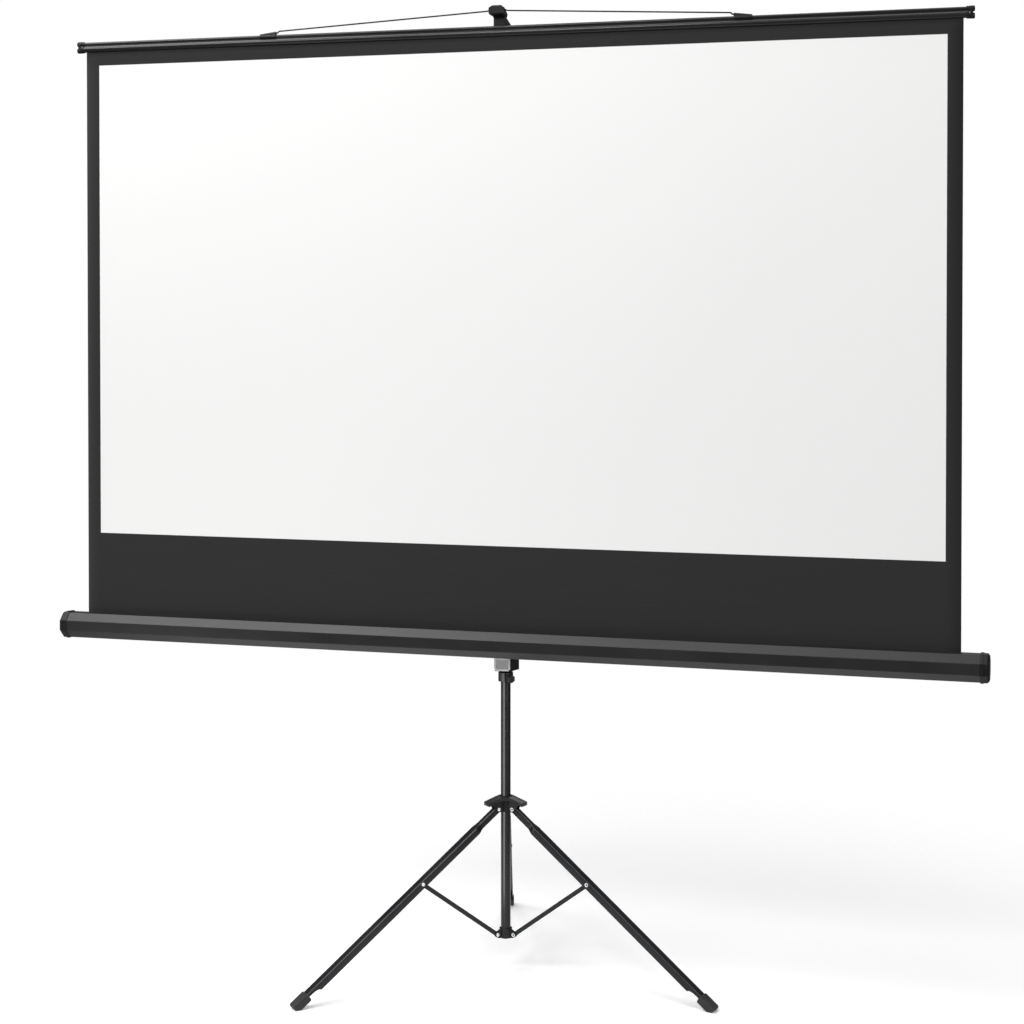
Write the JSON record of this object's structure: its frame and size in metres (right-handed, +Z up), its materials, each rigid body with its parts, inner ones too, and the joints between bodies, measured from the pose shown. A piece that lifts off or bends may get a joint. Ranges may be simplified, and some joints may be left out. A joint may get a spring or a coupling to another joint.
{
  "type": "tripod projection screen",
  "caption": "Portable projection screen on a folding tripod: bare white cloth with a black border, pulled from an octagonal case and hung on a telescopic mast.",
  "frame": {"origin": "middle of the object's box in plan, on the floor under the boots", "axes": "+Z up along the pole, the screen's face towards -Y, +X to the right of someone who looks at the screen"},
  "size_m": [2.422, 1.007, 2.4574],
  "materials": {
    "black_steel": "semi-gloss black powder coat",
    "black_plastic": "satin black",
    "case_paint": "satin black paint on an aluminium section",
    "bar_paint": "semi-gloss black paint on an aluminium section",
    "zinc": "bright zinc",
    "plate_steel": "bright steel",
    "rubber": "dark grey rubber",
    "white_cloth": "matt white, black borders",
    "black_cloth": "matt black"
  },
  "bodies": {
    "base": {"base_pole": "black_steel", "foot_bracket": "black_steel", "foot_bracket_pin": "zinc", "pole_clamp": "black_plastic"},
    "rear_brace_arm": {"rear_brace": "black_steel", "rear_foot_rivet": "zinc"},
    "left_brace_arm": {"left_brace": "black_steel", "left_foot_rivet": "zinc"},
    "right_brace_arm": {"right_brace": "black_steel", "right_foot_rivet": "zinc"},
    "rear_leg_arm": {"rear_leg": "black_steel", "rear_boot": "rubber", "rear_crown_rivet": "zinc", "rear_knee_rivet": "zinc"},
    "left_leg_arm": {"left_leg": "black_steel", "left_boot": "rubber", "left_crown_rivet": "zinc", "left_knee_rivet": "zinc"},
    "right_leg_arm": {"right_leg": "black_steel", "right_boot": "rubber", "right_crown_rivet": "zinc", "right_knee_rivet": "zinc"},
    "crown_slider": {"crown": "black_plastic"},
    "pole_knob": {"pole_clamp_knob": "black_plastic"},
    "mast_guide": {"mast_guide_bush": "black_plastic"},
    "mast": {"mast_tube": "black_steel", "mast_clamp": "black_plastic", "case_bracket": "black_plastic", "pivot_plate": "plate_steel", "pivot_bolt": "zinc", "case_saddle": "black_plastic", "case_profile": "case_paint", "left_case_cap": "black_plastic", "right_case_cap": "black_plastic", "idle_pin": "plate_steel", "spring_spindle": "plate_steel", "screen_cloth": "white_cloth"},
    "mast_knob": {"mast_clamp_knob": "black_plastic"},
    "extension": {"extension_rod": "black_steel", "extension_bush": "black_plastic", "hook_head": "black_plastic"},
    "roller": {"roller_tube": "plate_steel", "cloth_wrap": "black_cloth", "left_roller_plug": "black_plastic", "right_roller_plug": "black_plastic"},
    "bar": {"top_bar": "bar_paint", "left_bar_cap": "black_plastic", "right_bar_cap": "black_plastic", "left_bail_clip": "black_plastic", "right_bail_clip": "black_plastic"},
    "bail": {"bail_wire": "black_steel"}
  },
  "joints": [
    {"name": "rear_brace_hinge", "type": "hinge", "parent": "base", "child": "rear_brace_arm", "pos_m": [-0.00672, -0.04671, 0.098], "axis": [0.9632, 0.2689, 0], "range_deg": [0, 48.5]},
    {"name": "left_brace_hinge", "type": "hinge", "parent": "base", "child": "left_brace_arm", "pos_m": [-0.01749, -0.08865, 0.098], "axis": [-0.7145, 0.6997, 0], "range_deg": [0, 48.6]},
    {"name": "right_brace_hinge", "type": "hinge", "parent": "base", "child": "right_brace_arm", "pos_m": [0.02422, -0.07701, 0.098], "axis": [-0.2487, -0.9686, 0], "range_deg": [0, 48.6]},
    {"name": "rear_leg_hinge", "type": "hinge", "parent": "rear_brace_arm", "child": "rear_leg_arm", "pos_m": [-0.06508, 0.16229, 0.2595], "axis": [-0.9632, -0.2689, 0], "range_deg": [0, 97.2]},
    {"name": "left_leg_hinge", "type": "hinge", "parent": "left_brace_arm", "child": "left_leg_arm", "pos_m": [-0.16932, -0.24369, 0.2595], "axis": [0.7145, -0.6997, 0], "range_deg": [0, 97.2]},
    {"name": "right_leg_hinge", "type": "hinge", "parent": "right_brace_arm", "child": "right_leg_arm", "pos_m": [0.2344, -0.13097, 0.2595], "axis": [0.2487, 0.9686, 0], "range_deg": [0, 97.2]},
    {"name": "crown_hinge", "type": "hinge", "parent": "rear_leg_arm", "child": "crown_slider", "pos_m": [-0.00672, -0.04671, 0.421], "axis": [0.9632, 0.2689, 0], "range_deg": [0, 48.6]},
    {"name": "pole_knob_turn", "type": "hinge", "parent": "base", "child": "pole_knob", "pos_m": [0, -0.07079, 0.755], "axis": [0.7193, -0.6947, 0], "range_deg": [0, 360]},
    {"name": "mast_slide", "type": "slide", "parent": "base", "child": "mast_guide", "axis": [0, 0, 1], "range_m": [0, 0.4]},
    {"name": "mast_swivel", "type": "hinge", "parent": "mast_guide", "child": "mast", "pos_m": [0, -0.07079, 0.24], "axis": [0, 0, 1], "continuous": true},
    {"name": "mast_knob_turn", "type": "hinge", "parent": "mast", "child": "mast_knob", "pos_m": [0, -0.07079, 1.505], "axis": [0.342, 0.9397, 0], "range_deg": [0, 360]},
    {"name": "extension_slide", "type": "slide", "parent": "mast", "child": "extension", "axis": [0, 0, 1], "range_m": [-0.8, 0]},
    {"name": "bar_slide", "type": "slide", "parent": "mast", "child": "bar", "axis": [0, 0, 1], "range_m": [-0.8, 0], "deforming": ["screen_cloth"]},
    {"name": "roller_spin", "type": "hinge", "parent": "mast", "child": "roller", "pos_m": [0, -0.15559, 0.852], "axis": [1, 0, 0], "range_deg": [-3672, 0]},
    {"name": "bail_hinge", "type": "hinge", "parent": "bar", "child": "bail", "pos_m": [0, -0.14279, 2.411], "axis": [-1, 0, 0], "range_deg": [0, 60]}
  ],
  "couplings": [
    {"joint": "left_brace_hinge", "follows": "rear_brace_hinge", "ratio": 1},
    {"joint": "right_brace_hinge", "follows": "rear_brace_hinge", "ratio": 1},
    {"joint": "rear_leg_hinge", "follows": "rear_brace_hinge", "ratio": 2},
    {"joint": "left_leg_hinge", "follows": "rear_brace_hinge", "ratio": 2},
    {"joint": "right_leg_hinge", "follows": "rear_brace_hinge", "ratio": 2},
    {"joint": "crown_hinge", "follows": "rear_brace_hinge", "ratio": 1},
    {"joint": "bar_slide", "follows": "extension_slide", "ratio": 1},
    {"joint": "roller_spin", "follows": "extension_slide", "rad_per_m": 80}
  ]
}
